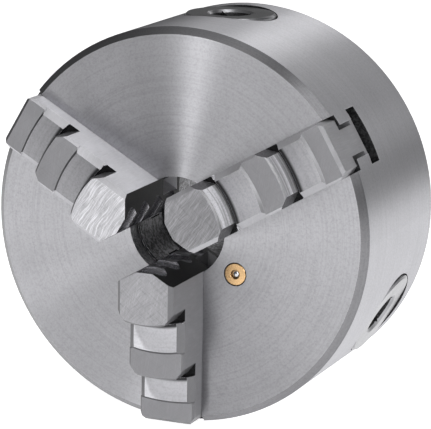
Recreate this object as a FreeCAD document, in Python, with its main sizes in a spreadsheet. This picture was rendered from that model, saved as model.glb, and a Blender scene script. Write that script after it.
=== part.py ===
import FreeCAD, Part
import math
import os
import re
import Sketcher

# Three-jaw scroll chuck. The chuck's axis is Y: the rear mounting face is at y = 0 and the
# front face looks towards -Y. Angles are counted on the front face from +X towards +Z.
# Lengths are millimetres and angles are degrees.

SIZES = {
    # body
    "body_radius": 62.5,
    "body_length": 62.0,
    "front_chamfer": 2.2,
    "rear_chamfer": 1.0,
    "bore_radius": 15.0,
    "bore_middle_radius": 15.5,
    "bore_mouth_radius": 16.1,
    "bore_mouth_depth": 6.0,
    "bore_middle_depth": 24.0,
    "hub_radius": 20.5,
    "cavity_radius": 41.0,
    "cavity_front_depth": 16.6,
    "cover_seat_radius": 46.8,
    "register_radius": 47.5,
    "register_depth": 4.0,
    # slots that the jaws run in, measured down from the front face
    "slot_half_width": 9.25,
    "rail_half_gap": 5.8,
    "rail_top_depth": 4.4,
    "rail_bottom_depth": 14.5,
    "slot_floor_depth": 21.3,
    # gaps: a sliding fit, a pressed one, a screw's clearance, and room past an end
    "slide_gap": 0.05,
    "press_gap": 0.02,
    "screw_gap": 0.2,
    "end_gap": 0.3,
    "edge_break": 0.4,
    # how far a cut's outline runs past the surface that it cuts
    "overrun": 1.0,
    # rear holes
    "mount_circle_radius": 54.0,
    "mount_hole_radius": 3.4,
    "mount_hole_depth": 16.0,
    # scroll plate
    "thread_turns": 4.25,
    "scroll_outer_radius": 40.5,
    "thread_tip_depth": 16.8,
    "disc_front_depth": 21.5,
    "scroll_boss_radius": 26.0,
    "scroll_boss_depth": 36.0,
    "scroll_pitch": 6.0,
    "thread_width": 2.85,
    "thread_start_radius": 17.8,
    # bevel gearing: the pitch cones meet where the pinion axes cross the chuck's axis
    "pinion_axis_depth": 40.6,
    "scroll_teeth": 54,
    "pinion_teeth": 12,
    "gear_outer_radius": 40.5,
    "gear_inner_radius": 27.0,
    "gear_module": 1.5,
    "pressure_angle": 20.0,
    "scroll_addendum": 1.05,
    "scroll_dedendum": 1.9,
    "pinion_addendum": 1.5,
    "pinion_dedendum": 1.45,
    "tooth_backlash": 0.2,
    # pinions
    "pinion_hole_radius": 15.0,
    "journal_radius": 14.95,
    "journal_start": 47.8,
    "pinion_end": 61.9,
    "pinion_end_chamfer": 0.6,
    "neck_radius": 9.5,
    "neck_start": 41.0,
    "groove_radius": 12.0,
    "groove_width": 5.0,
    "spigot_radius": 4.0,
    "spigot_end": 16.8,
    "pinion_rim_radius": 14.6,
    "socket_width": 10.0,
    "socket_depth": 14.0,
    "socket_mouth_radius": 7.5,
    # retaining screws of the pinions
    "retainer_circle": 53.0,
    "retainer_radius": 3.0,
    "retainer_thread_end": 6.2,
    "dog_radius": 2.0,
    "dog_end": 9.0,
    "retainer_key": 3.0,
    "retainer_key_depth": 3.0,
    "retainer_tap_margin": 2.0,
    # back cover
    "cover_radius": 46.75,
    "cover_bore_radius": 20.6,
    "cover_front_depth": 52.0,
    "cover_rear_depth": 57.7,
    "cover_ring_depth": 36.2,
    "cover_notch_half_width": 4.5,
    "cover_screw_circle": 43.5,
    "cover_screw_radius": 1.5,
    "cover_screw_length": 8.0,
    "tap_margin": 7.0,
    "screw_head_radius": 2.75,
    "screw_head_height": 3.0,
    "screw_key": 2.5,
    "counterbore_radius": 2.95,
    "counterbore_depth": 3.4,
    "screw_spread": 20.0,
    "dowel_radius": 1.5,
    "dowel_length": 11.0,
    # jaws: heights are above the front face, radii are from the chuck's axis
    "jaw_half_width": 9.2,
    "jaw_web_half_width": 4.4,
    "jaw_groove_top": 4.3,
    "jaw_groove_bottom": 14.6,
    "jaw_bottom_depth": 16.5,
    "jaw_teeth_depth": 21.2,
    "jaw_top_height": 24.5,
    "seat_two_height": 15.8,
    "flat_two_height": 15.0,
    "seat_three_height": 7.1,
    "flat_three_height": 6.3,
    "undercut_depth": 1.8,
    "undercut_width": 1.15,
    "riser_one_radius": 26.0,
    "riser_two_radius": 45.0,
    "seat_two_end": 36.0,
    "seat_three_end": 54.0,
    "rim_chamfer": 0.6,
    "riser_cut_along": 3.5,
    "riser_cut_across": 2.7,
    "top_bevel": 1.3,
    "seat_bevel": 2.0,
    "flat_bevel": 0.7,
    "land_radius": 9.2,
    "land_half_width": 2.8,
    "shoulder_radius": 12.9,
    "jaw_end_radius": 61.3,
    "jaw_end_cut_along": 2.4,
    "jaw_end_cut_across": 1.6,
    "jaw_end_bevel": 1.1,
    "jaw_tooth_width": 2.75,
    "tooth_front_arc": 15.0,
    "tooth_rear_arc": 80.0,
    "tooth_inset": 0.3,
    "tooth_root": 0.5,
    "last_tooth_margin": 2.0,
    "first_tooth_radius": 16.2,
    "tip_notch_radius": 5.5,
    "tip_notch_cut": 1.3,
    "tip_notch_pitch": 9.7,
    # ball oiler
    "oiler_circle": 23.5,
    "oiler_angle": -33.0,
    "oiler_radius": 3.5,
    "oiler_press_gap": 0.03,
    "oiler_spot_margin": 0.25,
    "oiler_spot_depth": 0.35,
    "oiler_edge": 0.2,
    "oiler_rear_hole": 1.0,
    "oiler_length": 8.0,
    "oiler_mouth_radius": 1.5,
    "oiler_lip": 1.0,
    "oiler_chamber_radius": 2.0,
    "oiler_floor": 1.0,
    "ball_radius": 1.8,
    "spring_radius": 1.4,
    "spring_wire_radius": 0.2,
    "spring_turns": 4.0,
}
PINION_ANGLES = (90.0, 210.0, 330.0)
JAW_ANGLES = (30.0, 150.0, 270.0)
FAR = 100.0             # longer than any cut needs to be
SPIRAL_STEPS = 32       # points of the thread's curve in each turn
INVOLUTE_STEPS = 5      # points along each flank of a pinion tooth

doc = FreeCAD.newDocument("chuck")
sheet = doc.addObject("Spreadsheet::Sheet", "Sizes")
for row, (alias, amount) in enumerate(SIZES.items(), start=1):
    sheet.set(f"A{row}", alias)
    sheet.set(f"B{row}", str(amount))
    sheet.setAlias(f"B{row}", alias)
doc.recompute()

sub_parts = []


def cells(text):
    """The expression with each alias pointing at the sheet."""
    return re.sub(r"[a-z][a-z_]+", lambda word: bound(word.group()), str(text))


def bound(word):
    return f"Sizes.{word}" if word in SIZES else word


def number(text):
    """The expression's present value."""
    result = sheet.evalExpression(cells(text))
    return float(getattr(result, "Value", result))


def size(alias):
    return float(sheet.get(alias))


# ---------------------------------------------------------------- PartDesign helpers

def new_body(name):
    item = doc.addObject("PartDesign::Body", name)
    item.Label = name
    sub_parts.append(item)
    return item


def origin_feature(item, role):
    return next(feature for feature in item.Origin.OriginFeatures if feature.Role == role)


def new_sketch(item, plane, offset="0"):
    """A sketch on one of the body's own origin planes, shifted along the plane's normal."""
    sketch = item.newObject("Sketcher::SketchObject", "Sketch")
    sketch.AttachmentSupport = [(origin_feature(item, plane), "")]
    sketch.MapMode = "FlatFace"
    sketch.setExpression("AttachmentOffset.Base.z", cells(offset))
    return sketch


def fix_point(sketch, edge, end, x_text, y_text):
    """Places one end of an edge by two dimensions that follow the sheet."""
    for kind, text in (("DistanceX", x_text), ("DistanceY", y_text)):
        index = sketch.addConstraint(Sketcher.Constraint(kind, edge, end, number(text)))
        sketch.setExpression(f"Constraints[{index}]", cells(text))


def add_outline(sketch, points):
    """A closed outline of straight edges; each point is a pair of expressions."""
    spots = [FreeCAD.Vector(number(x), number(y), 0) for x, y in points]
    first = sketch.GeometryCount
    for here, there in zip(spots, spots[1:] + spots[:1]):
        sketch.addGeometry(Part.LineSegment(here, there))
    count = len(points)
    for index, (x, y) in enumerate(points):
        edge = first + index
        following = first + (index + 1) % count
        sketch.addConstraint(Sketcher.Constraint("Coincident", edge, 2, following, 1))
        fix_point(sketch, edge, 1, x, y)


def add_circle(sketch, x, y, radius):
    centre = FreeCAD.Vector(number(x), number(y), 0)
    edge = sketch.addGeometry(Part.Circle(centre, FreeCAD.Vector(0, 0, 1), number(radius)))
    fix_point(sketch, edge, 3, x, y)
    index = sketch.addConstraint(Sketcher.Constraint("Radius", edge, number(radius)))
    sketch.setExpression(f"Constraints[{index}]", cells(radius))


def add_hexagon(sketch, across_flats):
    """A hexagon about the sketch's origin."""
    corner = f"({across_flats}) / 2 / cos(30)"
    points = [(f"{corner} * cos({60 * k})", f"{corner} * sin({60 * k})") for k in range(6)]
    add_outline(sketch, points)


def pad(item, sketch, length, reverse=False):
    feature = item.newObject("PartDesign::Pad", "Pad")
    feature.Profile = sketch
    feature.setExpression("Length", cells(length))
    feature.Reversed = reverse
    return finish_feature(item, feature, grows=True)


def pocket(item, sketch, length, reverse=False):
    feature = item.newObject("PartDesign::Pocket", "Pocket")
    feature.Profile = sketch
    feature.setExpression("Length", cells(length))
    feature.Reversed = reverse
    return finish_feature(item, feature, grows=False)


def turned(item, sketch, kind):
    """A Revolution or a Groove of the sketch, all the way round the Y axis."""
    feature = item.newObject(f"PartDesign::{kind}", kind)
    feature.Profile = sketch
    feature.ReferenceAxis = (sketch, ["V_Axis"])
    feature.Angle = 360
    return finish_feature(item, feature, grows=kind == "Revolution")


def finish_feature(item, feature, grows):
    """Makes the feature the body's tip and checks that it adds or removes material."""
    base = feature.BaseFeature.Shape.Volume if feature.BaseFeature else 0.0
    item.Tip = feature
    doc.recompute()
    change = feature.Shape.Volume - base
    if (change > 0) != grows or abs(change) < 1e-6:
        raise RuntimeError(f"{item.Label}: {feature.Name} changed its volume by {change:.3f} mm3")
    return feature


def around_axis(item, features, count=3):
    """Repeats features about the chuck's axis."""
    pattern = item.newObject("PartDesign::PolarPattern", "PolarPattern")
    pattern.Originals = features
    pattern.Axis = (origin_feature(item, "Y_Axis"), [""])
    pattern.Angle = 360
    pattern.Occurrences = count
    item.Tip = pattern
    doc.recompute()
    return pattern


def turn_to(item, angle):
    """Turns a piece built along +X, or facing +X, to an angle on the front face."""
    item.Placement = FreeCAD.Placement(FreeCAD.Vector(), rotation_to(angle))


def rotation_to(angle):
    return FreeCAD.Rotation(FreeCAD.Vector(0, 1, 0), -angle)


def at_angle(radius, angle):
    """A point on the front view, as sketch expressions."""
    return f"{radius} * cos({angle})", f"{radius} * sin({angle})"


def depth(text):
    """The y coordinate of a depth below the front face."""
    return f"{text} - body_length"


def height(text):
    """The y coordinate of a height above the front face."""
    return f"-body_length - ({text})"


# ---------------------------------------------------------------- chuck body

def make_chuck_body():
    item = new_body("chuck_body")
    section = new_sketch(item, "XY_Plane")
    add_outline(section, [
        ("bore_mouth_radius", "-body_length"),
        ("body_radius - front_chamfer", "-body_length"),
        ("body_radius", "front_chamfer - body_length"),
        ("body_radius", "-rear_chamfer"),
        ("body_radius - rear_chamfer", "0"),
        ("register_radius", "0"),
        ("register_radius", "-register_depth"),
        ("cover_seat_radius", "-register_depth"),
        ("cover_seat_radius", depth("cover_front_depth")),
        ("cavity_radius", depth("cover_front_depth")),
        ("cavity_radius", depth("cavity_front_depth")),
        ("hub_radius", depth("cavity_front_depth")),
        ("hub_radius", "-register_depth"),
        ("bore_radius", "-register_depth"),
        ("bore_radius", depth("bore_middle_depth")),
        ("bore_middle_radius", depth("bore_middle_depth")),
        ("bore_middle_radius", depth("bore_mouth_depth")),
        ("bore_mouth_radius", depth("bore_mouth_depth")),
    ])
    turned(item, section, "Revolution")

    # A T-slot for each jaw, from the bore out through the side.
    slot = new_sketch(item, "XY_Plane")
    right = [
        ("slot_half_width", depth("-overrun")),
        ("slot_half_width", depth("rail_top_depth")),
        ("rail_half_gap", depth("rail_top_depth")),
        ("rail_half_gap", depth("rail_bottom_depth")),
        ("slot_half_width", depth("rail_bottom_depth")),
        ("slot_half_width", depth("slot_floor_depth")),
    ]
    left = [(f"-{x}", y) for x, y in reversed(right)]
    add_outline(slot, right + left)
    around_axis(item, [pocket(item, slot, FAR)])

    # A hole for each pinion and a blind one in the hub for its spigot.
    hole = new_sketch(item, "XY_Plane", "gear_inner_radius + edge_break")
    add_circle(hole, "0", depth("pinion_axis_depth"), "pinion_hole_radius")
    hub_hole = new_sketch(item, "XY_Plane", "spigot_end - end_gap")
    add_circle(hub_hole, "0", depth("pinion_axis_depth"), "spigot_radius + slide_gap")
    around_axis(item, [
        pocket(item, hole, FAR, reverse=True),
        pocket(item, hub_hole, "gear_inner_radius - spigot_end", reverse=True),
    ])

    # Rear face: a mounting hole behind each jaw, a retaining screw's hole behind each pinion.
    mounting = new_sketch(item, "XZ_Plane")
    add_circle(mounting, *at_angle("mount_circle_radius", JAW_ANGLES[2]), "mount_hole_radius")
    retaining = new_sketch(item, "XZ_Plane")
    add_circle(retaining, *at_angle("retainer_circle", PINION_ANGLES[0]), "retainer_radius + press_gap")
    around_axis(item, [
        pocket(item, mounting, "mount_hole_depth", reverse=True),
        pocket(item, retaining, "retainer_thread_end + retainer_tap_margin", reverse=True),
    ])

    # Tapped holes and dowel holes in the shelf that the cover lies on.
    shelf = new_sketch(item, "XZ_Plane", "register_depth")
    for spread in (-1, 1):
        angle = f"{JAW_ANGLES[0]} + {spread} * screw_spread"
        spot = at_angle("cover_screw_circle", angle)
        add_circle(shelf, *spot, "cover_screw_radius + press_gap")
    tapped = pocket(item, shelf, "cover_rear_depth - cover_front_depth + tap_margin", reverse=True)
    around_axis(item, [tapped])
    dowels = new_sketch(item, "XZ_Plane", "register_depth")
    for angle in JAW_ANGLES[:2]:
        add_circle(dowels, *at_angle("cover_screw_circle", angle), "dowel_radius + press_gap")
    pocket(item, dowels, "dowel_length + 3 * end_gap", reverse=True)

    # Seat of the ball oiler with its oilway into the scroll's cavity.
    spot = at_angle("oiler_circle", "oiler_angle")
    steps = (
        ("oiler_radius + oiler_spot_margin", "oiler_spot_depth"),
        ("oiler_radius + oiler_press_gap", "oiler_length + end_gap"),
        ("oiler_mouth_radius", "cavity_front_depth + overrun"),
    )
    for radius, reach in steps:
        step = new_sketch(item, "XZ_Plane", "body_length")
        add_circle(step, *spot, radius)
        pocket(item, step, reach)


# ---------------------------------------------------------------- back cover and its fasteners

def make_back_cover():
    item = new_body("back_cover")
    section = new_sketch(item, "XY_Plane")
    add_outline(section, [
        ("cover_bore_radius", depth("cover_ring_depth")),
        ("scroll_boss_radius", depth("cover_ring_depth")),
        ("scroll_boss_radius", depth("cover_front_depth")),
        ("cover_radius", depth("cover_front_depth")),
        ("cover_radius", depth("cover_rear_depth")),
        ("cover_bore_radius", depth("cover_rear_depth")),
    ])
    turned(item, section, "Revolution")

    # The ring is notched for the pinions' spigots.
    notch = new_sketch(item, "XY_Plane", "cover_bore_radius / 2")
    add_outline(notch, [
        ("-cover_notch_half_width", depth("cover_ring_depth - overrun")),
        ("cover_notch_half_width", depth("cover_ring_depth - overrun")),
        ("cover_notch_half_width", depth("pinion_axis_depth + cover_notch_half_width")),
        ("-cover_notch_half_width", depth("pinion_axis_depth + cover_notch_half_width")),
    ])
    around_axis(item, [pocket(item, notch, FAR, reverse=True)])

    rear = "body_length - cover_rear_depth"
    holes = new_sketch(item, "XZ_Plane", rear)
    heads = new_sketch(item, "XZ_Plane", rear)
    for spread in (-1, 1):
        spot = at_angle("cover_screw_circle", f"{JAW_ANGLES[0]} + {spread} * screw_spread")
        add_circle(holes, *spot, "cover_screw_radius + screw_gap")
        add_circle(heads, *spot, "counterbore_radius")
    around_axis(item, [
        pocket(item, holes, FAR, reverse=True),
        pocket(item, heads, "counterbore_depth", reverse=True),
    ])
    dowels = new_sketch(item, "XZ_Plane", rear)
    for angle in JAW_ANGLES[:2]:
        add_circle(dowels, *at_angle("cover_screw_circle", angle), "dowel_radius + press_gap")
    pocket(item, dowels, FAR, reverse=True)


def place_on_front_view(item, radius, angle):
    """Moves a piece built about the Y axis to a spot of the front view."""
    spot = FreeCAD.Vector(radius, 0, 0)
    item.Placement = FreeCAD.Placement(rotation_to(angle).multVec(spot), rotation_to(angle))


def make_cover_screw(name, angle):
    """Socket cap screw, its head in the cover's counterbore and its tip towards -Y."""
    item = new_body(name)
    seat = depth("cover_rear_depth - counterbore_depth")
    section = new_sketch(item, "XY_Plane")
    add_outline(section, [
        ("0", seat + " - cover_screw_length"),
        ("cover_screw_radius - edge_break", seat + " - cover_screw_length"),
        ("cover_screw_radius", seat + " - cover_screw_length + edge_break"),
        ("cover_screw_radius", seat),
        ("screw_head_radius", seat),
        ("screw_head_radius", seat + " + screw_head_height - edge_break"),
        ("screw_head_radius - edge_break", seat + " + screw_head_height"),
        ("0", seat + " + screw_head_height"),
    ])
    turned(item, section, "Revolution")
    socket = new_sketch(item, "XZ_Plane", f"-({seat} + screw_head_height)")
    add_hexagon(socket, "screw_key")
    pocket(item, socket, "screw_head_height / 2", reverse=True)
    place_on_front_view(item, size("cover_screw_circle"), angle)


def make_cover_dowel(name, angle):
    item = new_body(name)
    rear = depth("cover_rear_depth - end_gap")
    section = new_sketch(item, "XY_Plane")
    add_outline(section, [
        ("0", f"{rear} - dowel_length"),
        ("dowel_radius - edge_break", f"{rear} - dowel_length"),
        ("dowel_radius", f"{rear} - dowel_length + edge_break"),
        ("dowel_radius", f"{rear} - edge_break"),
        ("dowel_radius - edge_break", rear),
        ("0", rear),
    ])
    turned(item, section, "Revolution")
    place_on_front_view(item, size("cover_screw_circle"), angle)


def make_retainer(name, angle):
    """Socket set screw whose dog point stands in the pinion's groove."""
    item = new_body(name)
    section = new_sketch(item, "XY_Plane")
    add_outline(section, [
        ("0", "-dog_end"),
        ("dog_radius - edge_break", "-dog_end"),
        ("dog_radius", "-dog_end + edge_break"),
        ("dog_radius", "-retainer_thread_end"),
        ("retainer_radius", "-retainer_thread_end"),
        ("retainer_radius", "-end_gap - edge_break"),
        ("retainer_radius - edge_break", "-end_gap"),
        ("0", "-end_gap"),
    ])
    turned(item, section, "Revolution")
    socket = new_sketch(item, "XZ_Plane", "end_gap")
    add_hexagon(socket, "retainer_key")
    pocket(item, socket, "retainer_key_depth", reverse=True)
    place_on_front_view(item, size("retainer_circle"), angle)


# ---------------------------------------------------------------- jaws

def first_tooth(jaw_angle):
    """Radius of the jaw's innermost tooth, in the middle of the scroll's groove."""
    pitch = size("scroll_pitch")
    middle = size("thread_start_radius") + pitch * (jaw_angle / 360 + 0.5)
    turns = math.ceil((size("first_tooth_radius") - middle) / pitch)
    return middle + turns * pitch


def add_jaw_tooth(sketch, radius):
    """A crescent: a tight arc outwards and a slack arc inwards, as wide as the jaw."""
    half_width = size("jaw_half_width") - size("tooth_inset")
    outer = radius + size("jaw_tooth_width") / 2
    inner = radius - size("jaw_tooth_width") / 2
    tight = size("tooth_front_arc")
    slack = size("tooth_rear_arc")
    outer_drop = tight - math.sqrt(tight ** 2 - half_width ** 2)
    inner_drop = slack - math.sqrt(slack ** 2 - half_width ** 2)
    corners = {}
    for side in (-1, 1):
        corners[side] = (
            FreeCAD.Vector(outer - outer_drop, side * half_width, 0),
            FreeCAD.Vector(inner - inner_drop, side * half_width, 0),
        )
    front = Part.Arc(corners[-1][0], FreeCAD.Vector(outer, 0, 0), corners[1][0])
    rear = Part.Arc(corners[-1][1], FreeCAD.Vector(inner, 0, 0), corners[1][1])
    sketch.addGeometry([front, rear])
    for side in (-1, 1):
        sketch.addGeometry(Part.LineSegment(*corners[side]))


def seat_outline(riser, end, seat, flat):
    """The undercut, the raised seat and the slope to the flat, outwards from a riser."""
    return [
        (riser, height(f"{seat} - undercut_depth")),
        (f"{riser} + undercut_width", height(f"{seat} - undercut_depth")),
        (f"{riser} + undercut_width", height(seat)),
        (end, height(seat)),
        (f"{end} + {seat} - {flat}", height(flat)),
    ]


def make_jaw(name, jaw_angle):
    """One hardened jaw, built along +X and turned to its slot."""
    item = new_body(name)
    plan = new_sketch(item, "XZ_Plane", "-(" + depth("jaw_bottom_depth") + ")")
    half = [
        ("land_radius", "land_half_width"),
        ("shoulder_radius", "jaw_half_width"),
        ("jaw_end_radius - jaw_end_cut_along", "jaw_half_width"),
        ("jaw_end_radius", "jaw_half_width - jaw_end_cut_across"),
    ]
    add_outline(plan, half + [(x, f"-({y})") for x, y in reversed(half)])
    pad(item, plan, "jaw_bottom_depth + jaw_top_height")

    # Both flanks are grooved for the body's rails.
    for side in ("", "-"):
        flank = new_sketch(item, "YZ_Plane")
        add_outline(flank, [
            (depth("jaw_groove_top"), f"{side}(jaw_half_width + overrun)"),
            (depth("jaw_groove_top"), f"{side}jaw_web_half_width"),
            (depth("jaw_groove_bottom"), f"{side}jaw_web_half_width"),
            (depth("jaw_groove_bottom"), f"{side}(jaw_half_width + overrun)"),
        ])
        pocket(item, flank, FAR, reverse=True)

    # The steps are turned about the chuck's axis: each riser has a chamfered rim, a narrow
    # undercut at its foot, and a ground seat a little higher than the flat beyond it.
    steps = new_sketch(item, "XY_Plane")
    outline = [
        ("riser_one_radius - rim_chamfer - overrun", height("jaw_top_height + overrun")),
        ("riser_one_radius - rim_chamfer", height("jaw_top_height")),
        ("riser_one_radius", height("jaw_top_height - rim_chamfer")),
    ]
    outline += seat_outline("riser_one_radius", "seat_two_end", "seat_two_height", "flat_two_height")
    outline += [
        ("riser_two_radius - rim_chamfer", height("flat_two_height")),
        ("riser_two_radius", height("flat_two_height - rim_chamfer")),
    ]
    outline += seat_outline("riser_two_radius", "seat_three_end", "seat_three_height",
                            "flat_three_height")
    outline += [
        ("body_radius + overrun", height("flat_three_height")),
        ("body_radius + overrun", height("jaw_top_height + overrun")),
    ]
    add_outline(steps, outline)
    turned(item, steps, "Groove")

    # Each riser's corners are cut off down to the floor of its undercut.
    risers = (("riser_one_radius", "seat_two_height"), ("riser_two_radius", "seat_three_height"))
    for riser, seat in risers:
        floor = height(f"{seat} - undercut_depth")
        corners = new_sketch(item, "XZ_Plane", f"-({floor})")
        inside = "(jaw_half_width - riser_cut_across)"
        corner = f"sqrt({riser} ^ 2 - {inside} ^ 2)"
        for side in ("", "-"):
            add_outline(corners, [
                (f"{corner} - riser_cut_along", f"{side}jaw_half_width"),
                (corner, f"{side}{inside}"),
                (corner, f"{side}(jaw_half_width + overrun)"),
                (f"{corner} - riser_cut_along", f"{side}(jaw_half_width + overrun)"),
            ])
        pocket(item, corners, FAR, reverse=True)

    # Long edges are bevelled, more so beside the two ground seats.
    bevels = (
        ("land_radius + overrun", "riser_one_radius", "jaw_top_height", "top_bevel"),
        ("riser_one_radius", "seat_two_end", "seat_two_height", "seat_bevel"),
        ("seat_two_end", "riser_two_radius", "flat_two_height", "flat_bevel"),
        ("riser_two_radius", "seat_three_end", "seat_three_height", "seat_bevel"),
        ("seat_three_end", "jaw_end_radius + overrun", "flat_three_height", "flat_bevel"),
    )
    for start, end, top, bevel in bevels:
        for side in ("", "-"):
            edge = new_sketch(item, "YZ_Plane", start)
            add_outline(edge, [
                (height(f"{top} + overrun"), f"{side}(jaw_half_width - {bevel} - overrun)"),
                (height(f"{top} - {bevel} - overrun"), f"{side}(jaw_half_width + overrun)"),
                (height(f"{top} + overrun"), f"{side}(jaw_half_width + overrun)"),
            ])
            pocket(item, edge, f"{end} - ({start})", reverse=True)

    # The outer end's top edge is bevelled too.
    end = new_sketch(item, "XY_Plane", "-jaw_half_width")
    add_outline(end, [
        ("jaw_end_radius - jaw_end_bevel - overrun", height("flat_three_height + overrun")),
        ("jaw_end_radius + overrun", height("flat_three_height - jaw_end_bevel - overrun")),
        ("jaw_end_radius + overrun", height("flat_three_height + overrun")),
    ])
    pocket(item, end, "2 * jaw_half_width", reverse=True)

    # Round notches across the tip leave narrow gripping crests.
    notch = new_sketch(item, "XY_Plane", "-jaw_half_width")
    for row in range(4):
        place = f"{row + 0.5} * tip_notch_pitch"
        add_circle(notch, "land_radius + tip_notch_cut - tip_notch_radius",
                   height(f"jaw_top_height - {place}"), "tip_notch_radius")
    pocket(item, notch, "2 * jaw_half_width", reverse=True)

    # Teeth for the scroll.
    start = first_tooth(jaw_angle)
    last = size("jaw_end_radius") - size("last_tooth_margin")
    count = int((last - start) / size("scroll_pitch")) + 1
    teeth = new_sketch(item, "XZ_Plane", "-(" + depth("jaw_bottom_depth - tooth_root") + ")")
    for index in range(count):
        add_jaw_tooth(teeth, start + index * size("scroll_pitch"))
    pad(item, teeth, "jaw_teeth_depth - jaw_bottom_depth + tooth_root", reverse=True)
    turn_to(item, jaw_angle)


# ---------------------------------------------------------------- solids made with Part

def add_solid(name, shape):
    item = doc.addObject("Part::Feature", name)
    item.Label = name
    item.Shape = shape
    sub_parts.append(item)
    return item


def ring(outer, inner, front, rear):
    """A ring about the Y axis between two depths below the front face."""
    base = FreeCAD.Vector(0, front - size("body_length"), 0)
    along = FreeCAD.Vector(0, 1, 0)
    shape = Part.makeCylinder(outer, rear - front, base, along)
    if inner:
        shape = shape.cut(Part.makeCylinder(inner, rear - front, base, along))
    return shape


def spiral_curve(shift):
    """One flank of the thread: its radius grows evenly with the front view's angle."""
    points = []
    for step in range(int(size("thread_turns") * SPIRAL_STEPS) + 1):
        turn = step / SPIRAL_STEPS
        radius = size("thread_start_radius") + size("scroll_pitch") * turn + shift
        angle = 2 * math.pi * turn
        points.append(FreeCAD.Vector(radius * math.cos(angle), 0, radius * math.sin(angle)))
    curve = Part.BSplineCurve()
    curve.interpolate(points)
    return curve.toShape()


def scroll_thread():
    """The spiral thread, trimmed to the plate's inner and outer edges."""
    half = size("thread_width") / 2
    inner = spiral_curve(-half)
    outer = spiral_curve(half)
    ends = [
        Part.makeLine(inner.Vertexes[place].Point, outer.Vertexes[place].Point)
        for place in (0, -1)
    ]
    band = Part.Face(Part.Wire(Part.__sortEdges__([inner, ends[1], outer, ends[0]])))
    rise = size("disc_front_depth") - size("thread_tip_depth")
    band.translate(FreeCAD.Vector(0, size("thread_tip_depth") - size("body_length"), 0))
    thread = band.extrude(FreeCAD.Vector(0, rise + size("overrun"), 0))
    bore = size("hub_radius") + size("slide_gap")
    blank = ring(size("scroll_outer_radius"), bore, size("thread_tip_depth"),
                 size("disc_front_depth") + size("overrun"))
    return thread.common(blank)


def frustum(outline, far, near):
    """A tooth: the outline stands at the distance far from the cones' apex, on +Z, and the
    tooth narrows towards the apex until the distance near. The outline holds (x, reach) with
    reach counted from the pinion's axis towards the front face."""
    apex_y = size("pinion_axis_depth") - size("body_length")
    wires = []
    for distance in (far, near):
        scale = distance / size("gear_outer_radius")
        points = [FreeCAD.Vector(x * scale, apex_y - reach * scale, distance)
                  for x, reach in outline]
        wires.append(Part.makePolygon(points + points[:1]))
    return Part.makeLoft(wires, True, True)


def pitch_radius():
    return size("gear_module") * size("pinion_teeth") / 2


def half_thickness():
    """Half a tooth's width on the pitch line."""
    return math.pi * size("gear_module") / 4 - size("tooth_backlash") / 4


def make_scroll():
    """Spiral thread in front, disc, boss and bevel teeth behind."""
    bore = size("hub_radius") + size("slide_gap")
    outer = size("scroll_outer_radius")
    slope = (pitch_radius() + size("scroll_dedendum")) / size("gear_outer_radius")
    axis_y = size("pinion_axis_depth") - size("body_length")
    front_y = size("disc_front_depth") - size("body_length")
    boss = size("scroll_boss_radius")
    boss_y = size("scroll_boss_depth") - size("body_length")
    corners = [
        (bore, front_y), (outer, front_y), (outer, axis_y - slope * outer),
        (boss, axis_y - slope * boss), (boss, boss_y), (bore, boss_y),
    ]
    points = [FreeCAD.Vector(x, y, 0) for x, y in corners]
    section = Part.Face(Part.makePolygon(points + points[:1]))
    disc = section.revolve(FreeCAD.Vector(), FreeCAD.Vector(0, 1, 0), 360)

    # Straight-sided teeth, as on a rack, that all point at the cones' apex.
    lean = math.tan(math.radians(size("pressure_angle")))
    pitch = pitch_radius()
    tip = pitch - size("scroll_addendum")
    foot = pitch + size("scroll_dedendum") + size("tooth_root")
    tip_half = half_thickness() - size("scroll_addendum") * lean
    foot_half = half_thickness() + (foot - pitch) * lean
    outline = [(-foot_half, foot), (-tip_half, tip), (tip_half, tip), (foot_half, foot)]
    count = int(size("scroll_teeth"))
    tooth = frustum(outline, outer, size("gear_inner_radius"))
    teeth = []
    for index in range(count):
        # A gap, not a tooth, stands at each pinion.
        copy = tooth.copy()
        turn = 360 * (index + 0.5) / count
        copy.rotate(FreeCAD.Vector(), FreeCAD.Vector(0, 1, 0), turn)
        teeth.append(copy)
    shape = disc.multiFuse(teeth + [scroll_thread()])
    return add_solid("scroll_plate", shape.removeSplitter())


def pinion_tooth_outline():
    """One involute tooth towards the scroll, as (x, reach) pairs from one foot to the other."""
    pitch = pitch_radius()
    base = pitch * math.cos(math.radians(size("pressure_angle")))
    tip = pitch + size("pinion_addendum")
    root = pitch - size("pinion_dedendum") - size("tooth_root")

    def roll(radius):
        """The involute's turn between its base circle and this radius."""
        pressure = math.acos(min(1.0, base / radius))
        return math.tan(pressure) - pressure

    half_angle = half_thickness() / pitch + roll(pitch)
    side = []
    for step in range(INVOLUTE_STEPS + 1):
        radius = base + (tip - base) * step / INVOLUTE_STEPS
        turn = half_angle - roll(radius)
        side.append((radius * math.sin(turn), radius * math.cos(turn)))
    foot = (root * math.sin(half_angle), root * math.cos(half_angle))
    right = [foot] + side
    return right + [(-x, reach) for x, reach in reversed(right)]


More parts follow.
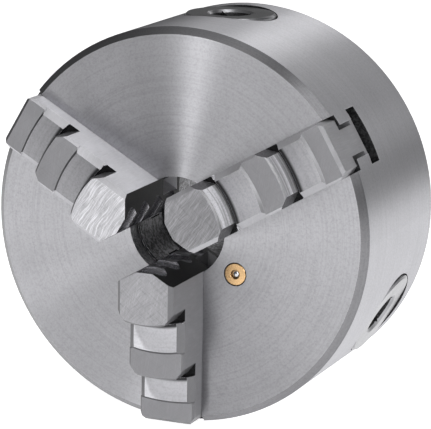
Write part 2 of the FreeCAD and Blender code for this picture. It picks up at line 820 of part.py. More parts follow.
def make_pinion(name, angle):
    """Bevel pinion with its journal, retaining groove, spigot and square key socket,
    built along +Z and turned to its hole."""
    axis_y = size("pinion_axis_depth") - size("body_length")
    far = size("gear_outer_radius") - size("screw_gap")
    near = size("gear_inner_radius") + size("end_gap")
    root = (pitch_radius() - size("pinion_dedendum")) / size("gear_outer_radius")
    groove_near = size("retainer_circle") - size("groove_width") / 2
    groove_far = size("retainer_circle") + size("groove_width") / 2
    end = size("pinion_end")
    bevel = size("pinion_end_chamfer")
    corners = [
        (0, size("spigot_end")),
        (size("spigot_radius"), size("spigot_end")),
        (size("spigot_radius"), near),
        (root * near, near),
        (root * far, far),
        (root * far, size("neck_start")),
        (size("neck_radius"), size("neck_start")),
        (size("neck_radius"), size("journal_start")),
        (size("journal_radius"), size("journal_start")),
        (size("journal_radius"), groove_near),
        (size("groove_radius"), groove_near),
        (size("groove_radius"), groove_far),
        (size("pinion_rim_radius"), groove_far),
        (size("pinion_rim_radius"), end - bevel),
        (size("pinion_rim_radius") - bevel, end),
        (0, end),
    ]
    centre = FreeCAD.Vector(0, axis_y, 0)
    points = [centre + FreeCAD.Vector(radius, 0, distance) for radius, distance in corners]
    section = Part.Face(Part.makePolygon(points + points[:1]))
    core = section.revolve(centre, FreeCAD.Vector(0, 0, 1), 360)

    count = int(size("pinion_teeth"))
    tooth = frustum(pinion_tooth_outline(), far, near)
    teeth = []
    for index in range(count):
        copy = tooth.copy()
        copy.rotate(centre, FreeCAD.Vector(0, 0, 1), 360 * index / count)
        teeth.append(copy)
    shape = core.multiFuse(teeth)

    width = size("socket_width")
    floor = end - size("socket_depth")
    corner = centre + FreeCAD.Vector(-width / 2, -width / 2, floor)
    shape = shape.cut(Part.makeBox(width, width, size("socket_depth") + size("overrun"), corner))
    mouth = size("socket_mouth_radius")
    flare = mouth - width / 2
    cone = Part.makeCone(width / 2, mouth, flare, centre + FreeCAD.Vector(0, 0, end - flare),
                         FreeCAD.Vector(0, 0, 1))
    shape = shape.cut(cone).removeSplitter()
    shape.rotate(FreeCAD.Vector(), FreeCAD.Vector(0, 1, 0), PINION_ANGLES[0] - angle)
    return add_solid(name, shape)


# ---------------------------------------------------------------- ball oiler

def make_oiler():
    """Brass shell pressed into the front face, with a sprung ball behind its lip."""
    shell = new_body("oiler_shell")
    section = new_sketch(shell, "XY_Plane")
    floor = "oiler_length - oiler_floor"
    add_outline(section, [
        ("oiler_mouth_radius", "-body_length"),
        ("oiler_radius - oiler_edge", "-body_length"),
        ("oiler_radius", depth("oiler_edge")),
        ("oiler_radius", depth("oiler_length")),
        ("oiler_rear_hole", depth("oiler_length")),
        ("oiler_rear_hole", depth(floor)),
        ("oiler_chamber_radius", depth(floor)),
        ("oiler_chamber_radius", depth("oiler_lip")),
        ("oiler_mouth_radius", depth("oiler_lip")),
    ])
    turned(shell, section, "Revolution")
    place_on_front_view(shell, size("oiler_circle"), size("oiler_angle"))

    ball = doc.addObject("Part::Sphere", "oiler_ball")
    ball.Label = "oiler_ball"
    ball.setExpression("Radius", cells("ball_radius"))
    sub_parts.append(ball)
    seat = math.sqrt(size("ball_radius") ** 2 - size("oiler_mouth_radius") ** 2)
    ball_y = size("oiler_lip") + seat + size("press_gap") - size("body_length")
    spot = rotation_to(size("oiler_angle")).multVec(FreeCAD.Vector(size("oiler_circle"), 0, 0))
    ball.Placement = FreeCAD.Placement(spot + FreeCAD.Vector(0, ball_y, 0), FreeCAD.Rotation())

    # The spring stands between the ball and the chamber's floor.
    wire = size("spring_wire_radius")
    touch = math.sqrt((size("ball_radius") + wire) ** 2 - size("spring_radius") ** 2)
    front = ball_y + touch + size("press_gap")
    chamber_end = size("oiler_length") - size("oiler_floor") - size("body_length")
    rear = chamber_end - wire - size("press_gap")
    spring = add_solid("oiler_spring", coil_spring(wire, rear - front))
    stand = FreeCAD.Rotation(FreeCAD.Vector(1, 0, 0), -90)
    spring.Placement = FreeCAD.Placement(spot + FreeCAD.Vector(0, front, 0), stand)


def coil_spring(wire, rise):
    """A coil about the Z axis, made of tilted half rings that meet tangent to each other."""
    radius = size("spring_radius")
    halves = int(2 * size("spring_turns"))
    climb = rise / halves
    rings = []
    for half in range(halves):
        side = 1 if half % 2 == 0 else -1
        start = FreeCAD.Vector(side * radius, 0, climb * half)
        disc = Part.Face(Part.Wire(Part.makeCircle(wire, start, FreeCAD.Vector(0, 1, 0))))
        tilt = side * math.atan2(climb / 2, radius)
        axis = FreeCAD.Vector(math.sin(tilt), 0, math.cos(tilt))
        rings.append(disc.revolve(FreeCAD.Vector(0, 0, climb * (half + 0.5)), axis, 180))
    return rings[0].multiFuse(rings[1:]).removeSplitter()


# ---------------------------------------------------------------- build, check and write

def build():
    make_chuck_body()
    make_scroll()
    make_back_cover()
    screw_angles = [jaw + side * size("screw_spread") for jaw in JAW_ANGLES for side in (-1, 1)]
    for count, angle in enumerate(screw_angles, start=1):
        make_cover_screw(f"cover_screw_{count}", angle)
    for count, angle in enumerate(JAW_ANGLES[:2], start=1):
        make_cover_dowel(f"cover_dowel_{count}", angle)
    for count, angle in enumerate(PINION_ANGLES, start=1):
        make_pinion(f"pinion_{count}", angle)
        make_retainer(f"pinion_retainer_{count}", angle)
    for count, angle in enumerate(JAW_ANGLES, start=1):
        make_jaw(f"jaw_{count}", angle)
    make_oiler()


def check_and_write():
    doc.recompute()
    for item in doc.Objects:
        if {"Invalid", "Error"} & set(item.State):
            raise RuntimeError(f"{item.Label} is in error: {item.State}")
    for item in sub_parts:
        if item.Shape.isNull() or not item.Shape.isValid():
            raise RuntimeError(f"{item.Label} has no valid shape")
    os.makedirs("parts", exist_ok=True)
    for item in sub_parts:
        item.Shape.exportStep(f"parts/{item.Label}.step")
        print(f"{item.Label}: {len(item.Shape.Solids)} solid, {item.Shape.Volume:.1f} mm3")


build()
check_and_write()
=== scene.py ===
import math

import bpy
from mathutils import Matrix, Vector


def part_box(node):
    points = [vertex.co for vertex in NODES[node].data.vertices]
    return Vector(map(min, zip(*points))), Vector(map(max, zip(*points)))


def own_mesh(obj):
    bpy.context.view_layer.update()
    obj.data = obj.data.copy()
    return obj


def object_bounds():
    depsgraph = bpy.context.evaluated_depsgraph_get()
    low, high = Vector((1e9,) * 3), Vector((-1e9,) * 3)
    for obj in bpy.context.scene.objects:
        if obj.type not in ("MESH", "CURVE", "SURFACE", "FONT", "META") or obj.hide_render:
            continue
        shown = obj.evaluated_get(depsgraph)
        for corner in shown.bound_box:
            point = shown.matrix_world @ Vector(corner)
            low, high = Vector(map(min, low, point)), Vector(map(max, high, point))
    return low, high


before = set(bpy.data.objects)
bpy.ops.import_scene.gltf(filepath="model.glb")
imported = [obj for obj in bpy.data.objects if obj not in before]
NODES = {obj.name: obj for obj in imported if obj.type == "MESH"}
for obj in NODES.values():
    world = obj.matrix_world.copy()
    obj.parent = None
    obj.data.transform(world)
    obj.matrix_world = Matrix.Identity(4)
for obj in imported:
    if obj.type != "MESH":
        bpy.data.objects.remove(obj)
cad_low, cad_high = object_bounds()

MM = 0.001

# The chuck's axis is Y, its front face looks along -Y, and angles are in degrees of the front view.
JAW_ANGLES = (30.0, 150.0, 270.0)
PINION_ANGLES = (90.0, 210.0, 330.0)
NEAR = 0.1 * MM                 # what lies this close to a surface counts as on it
SLANT = 0.3                     # a facet leans towards a direction when its normal has this much of it

BODY_LOW, BODY_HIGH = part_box("chuck_body")
FACE_Y = BODY_LOW.y
BODY_RADIUS = BODY_HIGH.x
RIM_WIDTH = 2.4 * MM            # these two reach just past the body's front chamfer
RIM_DEPTH = 2.3 * MM
MOUTH_RADIUS = 16.1 * MM        # the bore's mouth
MOUTH_BAND = 0.3 * MM           # narrower than the step behind the mouth

# Heights are above the front face, and distances are from the chuck's axis.
JAW_TOP = FACE_Y - cad_low.y
SEAT_LEVELS = (15.8 * MM, 7.1 * MM)
RISERS = (26.0 * MM, 45.0 * MM)
JAW_END = 61.3 * MM
END_MARGIN = 4.0 * MM           # keeps the jaw's outer end apart from its risers
TIP_REACH = 13.2 * MM           # the gripping end's flanks and crest lie within this
GROOVE_INWARD = 2.0 * MM        # these three hold the undercut at a riser's foot
GROOVE_OUTWARD = 1.2 * MM
GROOVE_DEPTH = 2.0 * MM
FOOT_SHADE_START = 0.5 * MM      # painted shade: the dark line beside an undercut, measured from the riser
FOOT_SHADE_FADE = 1.9 * MM
FOOT_SHADE_END = 2.7 * MM

PINION_AXIS_Y = -21.4 * MM
PINION_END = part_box("pinion_1")[1].z
SOCKET_REACH = 7.3 * MM         # just past the square's corners
SOCKET_MOUTH = PINION_END - 0.9 * MM
SOCKET_FLOOR = PINION_END - 14.0 * MM

EDGE_RADIUS = 0.22 * MM         # shading only: how far the edges look broken
SHARP_DEGREES = 22.0            # edges that turn by more than this stay sharp
HAND_MARKS = (35.0, 80.0, 140.0)
JAW_PAINTED_LIGHT_AND_FINISH = (                # each jaw's tones are lighter or darker by how light falls on it, painted light and shade; swirls is the amount of its own marks
    {"tip": 0.25, "swirls": 0.2, "seat": 0.38, "side": 0.30, "bevel": 0.38, "edge": 0.24},
    {"tip": 0.48, "swirls": 0.7, "seat": 0.31, "side": 0.62, "bevel": 0.44, "edge": 0.18},
    {"tip": 0.29, "swirls": 0.08, "seat": 0.62, "side": 0.21, "bevel": 0.16, "edge": 0.18},
)

AZIMUTH = math.radians(23.54)
ELEVATION = math.radians(12.96)
VIEW_WAY = Vector((math.sin(AZIMUTH) * math.cos(ELEVATION),
                   -math.cos(AZIMUTH) * math.cos(ELEVATION), math.sin(ELEVATION)))
CAMERA_ROLL = math.radians(0.765)
CAMERA_DISTANCE = 0.80364
CAMERA_SENSOR = 36.0            # the sensor and the lens are in real millimetres
CAMERA_LENS = 216.57
CAMERA_SHIFT = (0.0893, 0.0301)

LAMP_DISTANCE = 1.1
FAN_REACH = 0.97                # how far the fan's lamps lean out towards their angles
FAN = (                         # the angle that a lamp brightens on the face, its power and its size
    (83, 3.6, 0.08),
    (74, 0.4, 0.2),
    (65, 1.0, 0.22),
    (55, 0.8, 0.22),
    (42, 0.7, 0.22),
    (26, 1.5, 0.22),
    (10, 1.3, 0.22),
    (-4, 0.7, 0.22),
)
FILLS = (                       # a fill lamp's name, its direction, its power and its size
    ("top", (0.1, 0.15, 1.0), 2.6, 0.4),
    ("top_right", (0.6, 0.1, 0.8), 0.4, 0.4),
    ("right", (0.76, -0.43, 0.44), 2.2, 0.3),
    ("upper_right", (0.53, -0.4, 0.7), 1.1, 0.3),
    ("rear_top", (0.0, 0.85, 0.5), 0.9, 0.4),
    ("left", (-0.9, -0.4, 0.0), 0.8, 0.4),
)
ROOM_LIGHT = 0.13
FLOOR_HALF = 3.0
FLOOR_GAP = 0.1 * MM
FLOOR_TONE = 0.8
FLOOR_GLOW = 0.85
WHITE = (1.0, 1.0, 1.0, 1.0)


def radial(angle):
    """The direction out from the chuck's axis at this angle."""
    return Vector((math.cos(math.radians(angle)), 0, math.sin(math.radians(angle))))


def grey(value):
    """A neutral steel with the faintest blue."""
    return (value, value * 0.995, value * 1.04, 1.0)


# ---------------------------------------------------------------- node helpers

class Shader:
    """A material's node tree, with short calls for the nodes that the materials use."""

    def __init__(self, name):
        self.material = bpy.data.materials.new(name)
        self.material.use_nodes = True
        self.tree = self.material.node_tree
        self.tree.nodes.clear()
        output = self.add("OutputMaterial")
        self.surface = self.add("BsdfPrincipled")
        self.tree.links.new(self.surface.outputs[0], output.inputs["Surface"])
        self.place = self.add("TexCoord").outputs["Object"]

    def add(self, kind):
        return self.tree.nodes.new(f"ShaderNode{kind}")

    def plug(self, socket, value):
        """Links a node's output to the socket, or sets the socket's own value."""
        if isinstance(value, bpy.types.NodeSocket):
            self.tree.links.new(value, socket)
        else:
            socket.default_value = value

    def set(self, **values):
        """Sets the surface's inputs, with _ for the spaces in their names."""
        for name, value in values.items():
            self.plug(self.surface.inputs[name.replace("_", " ")], value)

    def math(self, operation, *values):
        node = self.add("Math")
        node.operation = operation
        for socket, value in zip(node.inputs, values):
            self.plug(socket, value)
        return node.outputs[0]

    def split(self, vector):
        node = self.add("SeparateXYZ")
        self.plug(node.inputs[0], vector)
        return node.outputs[0], node.outputs[1], node.outputs[2]

    def scaled(self, parts, scales):
        """A vector of three values, each multiplied by its scale."""
        node = self.add("CombineXYZ")
        for socket, part, scale in zip(node.inputs, parts, scales):
            self.plug(socket, self.math("MULTIPLY", part, scale))
        return node.outputs[0]

    def turned(self, degrees):
        """The place with the direction at this angle brought to +X."""
        node = self.add("VectorRotate")
        node.rotation_type = "Y_AXIS"
        self.plug(node.inputs["Vector"], self.place)
        node.inputs["Angle"].default_value = math.radians(degrees)
        return node.outputs[0]

    def polar(self):
        """Distance from the axis, place along it and angle round it."""
        x, y, z = self.split(self.place)
        squares = self.math("ADD", self.math("MULTIPLY", x, x), self.math("MULTIPLY", z, z))
        return self.math("SQRT", squares), y, self.math("ARCTAN2", z, x)

    def remap(self, value, low, high, to_low, to_high):
        """The value carried from one range to another and held within it."""
        node = self.add("MapRange")
        self.plug(node.inputs["Value"], value)
        for name, amount in (("From Min", low), ("From Max", high),
                             ("To Min", to_low), ("To Max", to_high)):
            node.inputs[name].default_value = amount
        return node.outputs["Result"]

    def mix(self, amount, first, second):
        """The first colour at zero, and the second at one."""
        node = self.add("Mix")
        node.data_type = "RGBA"
        self.plug(node.inputs["Factor"], amount)
        self.plug(node.inputs["A"], first)
        self.plug(node.inputs["B"], second)
        return node.outputs["Result"]

    def noise(self, vector, scale=1.0, detail=2.0, rough=0.5, output="Fac"):
        node = self.add("TexNoise")
        self.plug(node.inputs["Vector"], vector)
        node.inputs["Scale"].default_value = scale
        node.inputs["Detail"].default_value = detail
        node.inputs["Roughness"].default_value = rough
        return node.outputs[output]

    def rings(self, across, lengthways, detail=2.0, rough=0.5):
        """Turning marks, which run round the axis."""
        return self.noise(self.scaled(self.polar(), (across, across, lengthways)),
                          detail=detail, rough=rough)

    def scratches(self, degrees, across, lengthways):
        """Fine straight marks at this angle."""
        return self.noise(self.scaled(self.split(self.turned(degrees)),
                                      (lengthways, lengthways, across)), detail=3.0, rough=0.65)

    def swirls(self, degrees, across, lengthways, bend):
        """Long marks that curve, as a hand-held stone leaves them."""
        shift = self.add("VectorMath")
        shift.operation = "MULTIPLY_ADD"
        self.plug(shift.inputs[0], self.noise(self.place, 90.0, output="Color"))
        shift.inputs[1].default_value = (bend, bend, bend)
        self.plug(shift.inputs[2], self.turned(degrees))
        return self.noise(self.scaled(self.split(shift.outputs[0]), (lengthways, lengthways, across)),
                          detail=3.0, rough=0.6)

    def brushed(self, amount, rings=True):
        """Spreads the gloss as marks round the chuck's axis do, or as marks out from it do."""
        x, _, z = self.split(self.place)
        turn = self.add("VectorTransform")
        turn.vector_type = "VECTOR"
        turn.convert_from = "OBJECT"
        turn.convert_to = "WORLD"
        self.plug(turn.inputs[0], self.scaled((z, 0.0, x), (-1.0, 0.0, 1.0)))
        self.set(Tangent=turn.outputs[0], Anisotropic=amount,
                 Anisotropic_Rotation=0.25 if rings else 0.0)

    def softened(self):
        """The surface's normal with its edges rounded off."""
        edge = self.add("Bevel")
        edge.samples = 4
        edge.inputs["Radius"].default_value = EDGE_RADIUS
        return edge.outputs[0]

    def edge_wear_and_highlight(self):
        """One at an edge and zero away from it: the mask that lightens edges, as wear and as a painted
        highlight.
        """
        dot = self.add("VectorMath")
        dot.operation = "DOT_PRODUCT"
        self.plug(dot.inputs[0], self.softened())
        self.plug(dot.inputs[1], self.add("NewGeometry").outputs["True Normal"])
        return self.remap(dot.outputs["Value"], 0.98, 0.85, 0.0, 1.0)

    def finish(self, relief, depth):
        """Puts the relief over softened edges, and gives the material."""
        bump = self.add("Bump")
        bump.inputs["Distance"].default_value = depth
        self.plug(bump.inputs["Height"], relief)
        self.plug(bump.inputs["Normal"], self.softened())
        self.set(Normal=bump.outputs["Normal"])
        return self.material


# ---------------------------------------------------------------- materials

def ringed_steel(name, dark, light, roughness, brushing, streaks=0.2, streak_scale=1500.0,
                 metal=1.0, painted_foot_shade=()):
    """Face-turned and ground steel: fine grain over rings, painted shade as dark lines beside the
    risers' feet, and edges lightened as wear and as a painted highlight.
    """
    shade = Shader(name)
    rings = shade.rings(across=9000.0, lengthways=1.2, detail=3.0, rough=0.6)
    broad = shade.rings(across=streak_scale, lengthways=0.8)
    cloud = shade.noise(shade.place, 45.0, 3.0, 0.6)
    grain = shade.noise(shade.place, 1700.0, 3.0, 0.7)
    colour = shade.mix(shade.remap(cloud, 0.3, 0.7, 0.0, 1.0), grey(light * 0.93), grey(light))
    colour = shade.mix(shade.remap(rings, 0.35, 0.75, 0.0, 0.25), colour, grey(dark))
    colour = shade.mix(shade.remap(grain, 0.45, 0.7, 0.0, 0.45), colour, grey(dark * 0.9))
    colour = shade.mix(shade.remap(broad, 0.45, 0.65, 0.0, streaks), colour, grey(dark * 0.8))
    # painted shade: a dark line just beyond each riser's foot, fading out further on
    for foot in painted_foot_shade:
        distance = shade.polar()[0]
        fading = shade.remap(distance, foot + FOOT_SHADE_FADE, foot + FOOT_SHADE_END, 0.95, 0.0)
        beyond = shade.math("GREATER_THAN", distance, foot + FOOT_SHADE_START)
        colour = shade.mix(shade.math("MULTIPLY", fading, beyond), colour, grey(0.02))
    # edges lightened, as wear and as a painted highlight
    colour = shade.mix(shade.edge_wear_and_highlight(), colour, grey(light * 1.25))
    shade.set(Base_Color=colour, Metallic=metal,
              Roughness=shade.remap(grain, 0.3, 0.7, roughness - 0.04, roughness + 0.05))
    shade.brushed(brushing)
    relief = shade.math("ADD", shade.math("MULTIPLY", rings, 0.6), grain)
    return shade.finish(relief, 0.006 * MM)


def rough_steel(name, dark, light, roughness, speckle_scale=900.0):
    """Unground steel, speckled by its scale and oil."""
    shade = Shader(name)
    speckle = shade.noise(shade.place, speckle_scale, 4.0, 0.75)
    cloud = shade.noise(shade.place, 90.0, 2.0, 0.5)
    colour = shade.mix(shade.remap(speckle, 0.42, 0.62, 0.0, 1.0), grey(dark), grey(light))
    colour = shade.mix(shade.remap(cloud, 0.4, 0.7, 0.0, 0.4), colour, grey(dark))
    # edges lightened, as wear and as a painted highlight
    colour = shade.mix(shade.edge_wear_and_highlight(), colour, grey(light * 2.0))
    shade.set(Base_Color=colour, Metallic=1.0,
              Roughness=shade.remap(speckle, 0.3, 0.7, roughness - 0.06, roughness + 0.08))
    return shade.finish(speckle, 0.03 * MM)


def ground_steel(name, dark, light, roughness, strength, brushing=0.0, swirls=0.0, metal=1.0):
    """Steel ground by hand: fine marks that cross each other, dark and light by turns, and swirls."""
    shade = Shader(name)
    cloud = shade.noise(shade.place, 110.0, 3.0, 0.6)
    relief = shade.noise(shade.place, 2300.0, 2.0, 0.6)
    colour = shade.mix(shade.remap(cloud, 0.35, 0.65, 0.0, 1.0), grey(light * 0.88), grey(light))
    for count, angle in enumerate(HAND_MARKS):
        marks = shade.scratches(angle, across=4600.0, lengthways=190.0)
        tone = grey(light * 1.35) if count % 2 else grey(dark)
        colour = shade.mix(shade.remap(marks, 0.52, 0.74, 0.0, strength), colour, tone)
        relief = shade.math("ADD", relief, marks)
    if swirls:
        strokes = shade.swirls(55.0, across=2600.0, lengthways=120.0, bend=0.004)
        colour = shade.mix(shade.remap(strokes, 0.46, 0.74, 0.0, swirls), colour, grey(0.95))
    # edges lightened, as wear and as a painted highlight
    colour = shade.mix(shade.edge_wear_and_highlight(), colour, grey(light * 1.3))
    shade.set(Base_Color=colour, Metallic=metal,
              Roughness=shade.remap(cloud, 0.3, 0.7, roughness - 0.05, roughness + 0.07))
    shade.brushed(brushing, rings=False)
    return shade.finish(relief, 0.006 * MM)


def plain_metal(name, colour, roughness):
    """Machined metal with a fine even grain."""
    shade = Shader(name)
    grain = shade.noise(shade.place, 2200.0, 3.0, 0.6)
    cloud = shade.noise(shade.place, 120.0, 2.0, 0.5)
    darker, even, lighter = ((*(part * scale for part in colour), 1.0) for scale in (0.72, 1.0, 1.3))
    tone = shade.mix(shade.remap(cloud, 0.3, 0.7, 0.0, 1.0), darker, even)
    # edges lightened, as wear and as a painted highlight
    shade.set(Base_Color=shade.mix(shade.edge_wear_and_highlight(), tone, lighter), Metallic=1.0,
              Roughness=shade.remap(grain, 0.3, 0.7, roughness - 0.05, roughness + 0.06))
    return shade.finish(grain, 0.008 * MM)


# ---------------------------------------------------------------- which finish goes where

def smooth(mesh):
    """Smooth shading on turned surfaces, and flat on facets that lie square to the axis."""
    mesh.shade_smooth()
    mesh.set_sharp_from_angle(angle=math.radians(SHARP_DEGREES))
    for polygon in mesh.polygons:
        if abs(polygon.normal.y) > 0.999:
            polygon.use_smooth = False


def dress(node, materials, zone_of=None):
    """Puts one material on a node, or several, where zone_of names a facet's by centre and normal."""
    mesh = NODES[node].data
    smooth(mesh)
    mesh.materials.clear()
    if zone_of is None:
        mesh.materials.append(materials)
        return
    order = list(materials)
    for zone in order:
        mesh.materials.append(materials[zone])
    for polygon in mesh.polygons:
        polygon.material_index = order.index(zone_of(polygon.center, polygon.normal))


def body_zone(centre, normal):
    """The name of the body's finish at this facet."""
    radius = math.hypot(centre.x, centre.z)
    if radius < MOUTH_RADIUS + NEAR and abs(normal.y) < 0.9:
        return "mouth" if radius > MOUTH_RADIUS - MOUTH_BAND else "bore"
    if normal.y < -0.9 and centre.y < FACE_Y + NEAR:
        return "face"
    if radius > BODY_RADIUS - RIM_WIDTH and centre.y < FACE_Y + RIM_DEPTH and abs(normal.y) > SLANT:
        return "rim"
    if radius > BODY_RADIUS - NEAR:
        return "side"
    if normal.y > 0.9 and centre.y > -NEAR:
        return "rear"
    return "inside"


def jaw_zone_at(angle):
    """The rule that names the finish of each facet, for the jaw at this angle."""
    outward = radial(angle)
    sideways = Vector((-outward.z, 0, outward.x))

    def in_groove(distance, height):
        return any(foot - GROOVE_INWARD < distance < foot + GROOVE_OUTWARD
                   and level - GROOVE_DEPTH < height < level - NEAR
                   for level, foot in zip(SEAT_LEVELS, RISERS))

    def zone(centre, normal):
        height = FACE_Y - centre.y
        reach = centre.dot(outward)
        out = normal.dot(outward)
        across = abs(normal.dot(sideways))
        before_end = reach < JAW_END - END_MARGIN
        if abs(normal.y) < 0.1 and across > SLANT and out > SLANT and height > 0 and before_end:
            return "corner"
        if across < 0.7 and in_groove(math.hypot(centre.x, centre.z), height):
            return "groove"
        if height > JAW_TOP - NEAR:
            return "tip"
        if out < -0.2 and reach < TIP_REACH:
            return "flank" if across > SLANT else "crest"
        if height < 0:
            return "side"
        if normal.y < -SLANT and across > SLANT:
            return "bevel"
        if -0.95 < normal.y < -SLANT and out > SLANT:
            return "break"
        if normal.y < -0.5:
            return "seat" if any(abs(height - level) < NEAR for level in SEAT_LEVELS) else "flat"
        if out > 0.5 and before_end:
            return "riser"
        return "side"

    return zone


def pinion_zone_at(angle):
    """The rule that names the finish of each facet, for the pinion at this angle."""
    outward = radial(angle)

    def zone(centre, normal):
        distance = centre.dot(outward)
        off_axis = centre - outward * distance
        off_axis.y -= PINION_AXIS_Y
        in_socket = off_axis.length < SOCKET_REACH and SOCKET_FLOOR - NEAR < distance < SOCKET_MOUTH
        return "socket" if in_socket else "steel"

    return zone


def dress_body():
    dress("chuck_body", {
        "face": ringed_steel("body_face", 0.33, 0.45, 0.47, brushing=0.97),
        "side": ringed_steel("body_side", 0.33, 0.45, 0.45, brushing=0.93),
        "rim": ringed_steel("body_rim", 0.13, 0.21, 0.34, brushing=0.4),
        # painted highlight: the wall at the bore's mouth is lighter than the bore
        "mouth": rough_steel("body_bore_mouth_painted_light", 0.12, 0.42, 0.45),
        "bore": rough_steel("body_bore", 0.05, 0.4, 0.5),
        "rear": ringed_steel("body_rear", 0.36, 0.5, 0.34, brushing=0.6),
        "inside": rough_steel("body_inside", 0.02, 0.07, 0.55),
    }, body_zone)


def dress_jaws():
    shared = {
        "riser": ringed_steel("jaw_riser", 0.3, 0.9, 0.5, brushing=0.0, streaks=0.8,
                              streak_scale=700.0, metal=0.5),
        # painted shade: the undercuts at the risers' feet are near-black
        "groove": rough_steel("jaw_groove_painted_shade", 0.01, 0.03, 0.6, speckle_scale=1500.0),
        # painted shade: the corner-cut facets are dark grey on every jaw
        "corner": rough_steel("jaw_corner_painted_shade", 0.08, 0.22, 0.5, speckle_scale=1500.0),
        "flat": ground_steel("jaw_flat", 0.17, 0.25, 0.5, strength=0.35),
        "flank": rough_steel("jaw_flank", 0.03, 0.055, 0.5, speckle_scale=2000.0),
        "crest": ground_steel("jaw_crest", 0.3, 0.6, 0.24, strength=0.3),
    }
    for count, (angle, tones) in enumerate(zip(JAW_ANGLES, JAW_PAINTED_LIGHT_AND_FINISH), start=1):
        name = f"jaw_{count}"
        tip, seat, side, bevel, edge = (
            tones[zone] for zone in ("tip", "seat", "side", "bevel", "edge"))
        # per jaw, painted light and shade: the tip, seat, side, bevel and edge-break tones differ by
        # how light falls on each jaw
        own = {
            "tip": ground_steel(f"{name}_tip", 0.55 * tip, tip, 0.42, strength=0.7, brushing=0.8,
                                swirls=tones["swirls"]),
            "seat": ringed_steel(f"{name}_seat", 0.7 * seat, seat, 0.44, brushing=0.93,
                                 painted_foot_shade=RISERS),
            "side": ground_steel(f"{name}_side", 0.7 * side, side, 0.55, strength=0.3, metal=0.4),
            "bevel": ground_steel(f"{name}_bevel", 0.7 * bevel, bevel, 0.5, strength=0.3, metal=0.8),
            "break": plain_metal(f"{name}_edge", (edge, edge, 1.04 * edge), 0.4),
        }
        dress(name, {**shared, **own}, jaw_zone_at(angle))


def dress_pinions():
    materials = {
        "steel": plain_metal("pinion_steel", (0.35, 0.35, 0.365), 0.32),
        "socket": rough_steel("pinion_socket", 0.01, 0.05, 0.5, speckle_scale=1500.0),
    }
    for count, angle in enumerate(PINION_ANGLES, start=1):
        dress(f"pinion_{count}", materials, pinion_zone_at(angle))


def dress_inner_parts():
    dress("scroll_plate", plain_metal("scroll_steel", (0.22, 0.22, 0.23), 0.4))
    dress("back_cover", ringed_steel("cover_steel", 0.28, 0.42, 0.38, brushing=0.5))
    black = plain_metal("fastener_steel", (0.05, 0.05, 0.055), 0.42)
    for node in NODES:
        if node.startswith(("cover_screw", "cover_dowel", "pinion_retainer")):
            dress(node, black)


def dress_oiler():
    dress("oiler_shell", plain_metal("oiler_brass", (0.72, 0.47, 0.24), 0.28))
    dress("oiler_ball", plain_metal("ball_steel", (0.55, 0.55, 0.57), 0.12))
    dress("oiler_spring", plain_metal("spring_steel", (0.4, 0.4, 0.42), 0.25))


def squeeze_spring():
    """Gives the oiler's spring its own copy of its mesh."""
    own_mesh(NODES["oiler_spring"])


# ---------------------------------------------------------------- camera, lights and floor

def make_camera():
    """The view from the front, a little from the right and above."""
    level = (-VIEW_WAY).cross(Vector((0, 0, 1))).normalized()
    upright = level.cross(-VIEW_WAY)
    right = math.cos(CAMERA_ROLL) * level + math.sin(CAMERA_ROLL) * upright
    up = math.cos(CAMERA_ROLL) * upright - math.sin(CAMERA_ROLL) * level
    data = bpy.data.cameras.new("camera")
    data.sensor_width = CAMERA_SENSOR
    data.lens = CAMERA_LENS
    data.shift_x, data.shift_y = CAMERA_SHIFT
    camera = bpy.data.objects.new("camera", data)
    bpy.context.collection.objects.link(camera)
    turn = Matrix((right, up, VIEW_WAY)).transposed().to_4x4()
    place = Vector((0, FACE_Y, 0)) + VIEW_WAY * CAMERA_DISTANCE
    camera.matrix_world = Matrix.Translation(place) @ turn
    bpy.context.scene.camera = camera


def soft_light(name, direction, power, size):
    """A square lamp at a direction from the front face's centre, aimed at it."""
    data = bpy.data.lights.new(name, "AREA")
    data.shape = "SQUARE"
    data.size = size
    data.energy = power
    lamp = bpy.data.objects.new(name, data)
    bpy.context.collection.objects.link(lamp)
    way = Vector(direction).normalized()
    lamp.location = Vector((0, FACE_Y, 0)) + way * LAMP_DISTANCE
    lamp.rotation_mode = "QUATERNION"
    lamp.rotation_quaternion = (-way).to_track_quat("-Z", "Y")


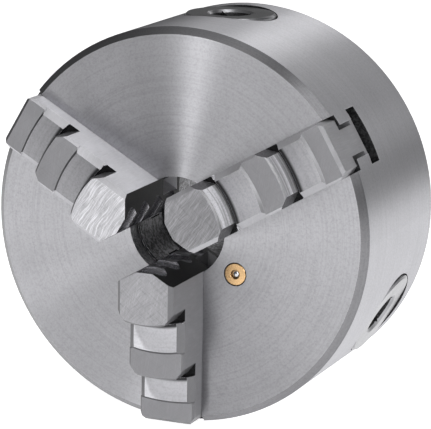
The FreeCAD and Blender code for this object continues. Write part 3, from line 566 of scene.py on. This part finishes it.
def fan_direction(angle):
    """Where a lamp stands to make the ringed face bright along this angle."""
    way = radial(angle) * FAN_REACH - Vector((VIEW_WAY.x, 0, VIEW_WAY.z))
    way.y = -math.sqrt(max(0.05, 1 - way.length_squared))
    return way


def light_studio():
    """A fan of lamps over the front, strongest at the top, and a few soft fills."""
    for angle, power, size in FAN:
        soft_light(f"fan_{angle}", fan_direction(angle), power, size)
    for name, direction, power, size in FILLS:
        soft_light(name, direction, power, size)


def make_world():
    """A dim room with a white backdrop."""
    world = bpy.data.worlds.new("studio")
    world.use_nodes = True
    nodes, links = world.node_tree.nodes, world.node_tree.links
    room = nodes["Background"]
    backdrop = nodes.new("ShaderNodeBackground")
    for shade, strength in ((room, ROOM_LIGHT), (backdrop, 1.0)):
        shade.inputs["Color"].default_value = WHITE
        shade.inputs["Strength"].default_value = strength
    either = nodes.new("ShaderNodeMixShader")
    links.new(nodes.new("ShaderNodeLightPath").outputs["Is Camera Ray"], either.inputs[0])
    links.new(room.outputs[0], either.inputs[1])
    links.new(backdrop.outputs[0], either.inputs[2])
    links.new(either.outputs[0], nodes["World Output"].inputs["Surface"])
    bpy.context.scene.world = world


def lay_floor():
    """A white floor just under the body, which also lights the chuck from below."""
    level = BODY_LOW.z - FLOOR_GAP
    corners = [(x * FLOOR_HALF, y * FLOOR_HALF, level) for x, y in ((-1, -1), (1, -1), (1, 1), (-1, 1))]
    mesh = bpy.data.meshes.new("floor")
    mesh.from_pydata(corners, [], [(0, 1, 2, 3)])
    floor = bpy.data.objects.new("floor", mesh)
    bpy.context.collection.objects.link(floor)
    shade = Shader("floor_white")
    shade.set(Base_Color=(FLOOR_TONE, FLOOR_TONE, FLOOR_TONE, 1.0), Roughness=0.9,
              Emission_Color=WHITE, Emission_Strength=FLOOR_GLOW)
    mesh.materials.append(shade.material)


make_camera()
make_world()
light_studio()
lay_floor()
bpy.context.scene.view_settings.view_transform = "Standard"
dress_body()
dress_jaws()
dress_pinions()
dress_inner_parts()
dress_oiler()
squeeze_spring()
